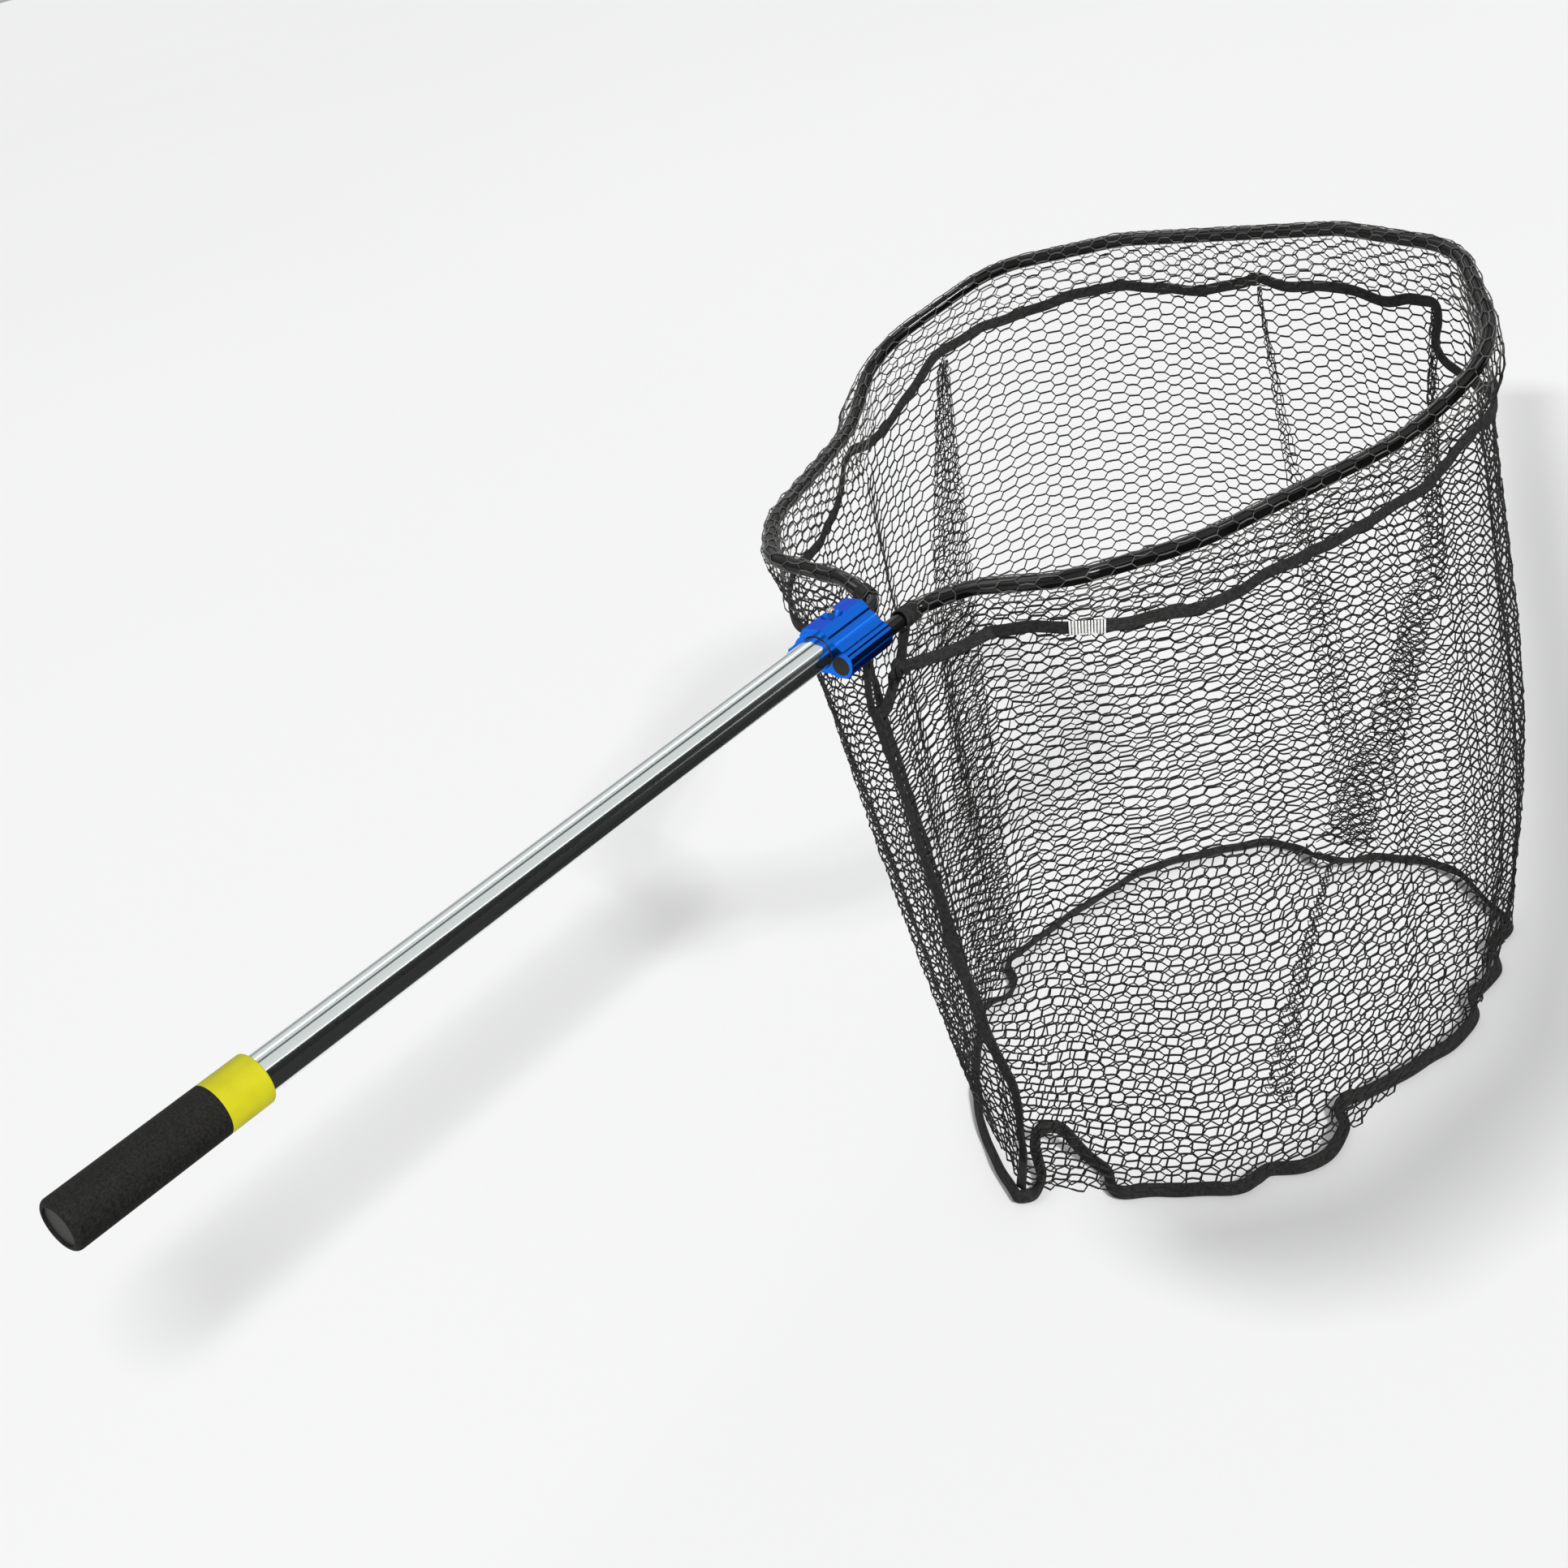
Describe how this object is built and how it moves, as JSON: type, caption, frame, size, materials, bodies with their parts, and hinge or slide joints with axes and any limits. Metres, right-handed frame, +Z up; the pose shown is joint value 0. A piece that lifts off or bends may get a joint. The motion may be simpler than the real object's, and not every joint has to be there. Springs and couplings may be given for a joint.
{
  "type": "landing net",
  "caption": "Sliding-handle landing net: polished tube handle with foam grip, blue hub with snap button, bent hoop and a deep mesh bag.",
  "frame": {"origin": "middle of the foam grip, on the handle tube's axis", "axes": "+X along the handle from the grip to the hoop, +Y to the left, +Z up out of the hoop's mouth; the bag hangs towards -Z"},
  "size_m": [1.3512, 0.6097, 0.6412],
  "materials": {
    "tube": "polished dark silver anodised",
    "grip_foam": "fine closed-cell foam",
    "collar_foam": "fine closed-cell foam",
    "plastic": "moulded",
    "spring_steel": "bright",
    "chrome": "polished",
    "hub": "blue anodised extrusion",
    "hoop": "gloss black",
    "netting": "black knotless netting",
    "tape": "black braided tape",
    "stitching": "white stitched join"
  },
  "bodies": {
    "handle": {"handle_tube": "tube", "foam_grip": "grip_foam", "grip_collar": "collar_foam", "butt_plug": "plastic", "tube_front_plug": "plastic", "button_spring": "spring_steel"},
    "button": {"lock_button": "chrome"},
    "head": {"band_join": "stitching", "floor_band": "tape", "front_corner_band": "tape", "guide_bush": "plastic", "hem_cuffs": "tape", "hoop_cap_left": "plastic", "hoop_cap_right": "plastic", "hoop_screws": "spring_steel", "hoop_tube": "hoop", "hub_block": "hub", "net_far": "netting", "net_far_corner_left": "netting", "net_far_corner_right": "netting", "net_floor": "netting", "net_front_left": "netting", "net_front_right": "netting", "net_near_corner_left": "netting", "net_near_corner_right": "netting", "net_shoulder_left": "netting", "net_shoulder_right": "netting", "net_side_left": "netting", "net_side_right": "netting", "net_sleeve": "netting", "perimeter_band": "tape", "strap_knot": "tape", "strap_left": "tape", "strap_loops": "tape", "strap_right": "tape"}
  },
  "joints": [
    {"name": "head_slide", "type": "slide", "parent": "handle", "child": "head", "axis": [1, 0, 0], "range_m": [-0.53, 0]},
    {"name": "button_press", "type": "slide", "parent": "handle", "child": "button", "axis": [0, 0, -1], "range_m": [0, 0.0118], "stiffness_N_per_m": 600, "springref_m": -0.003, "deforming": ["button_spring"]}
  ]
}
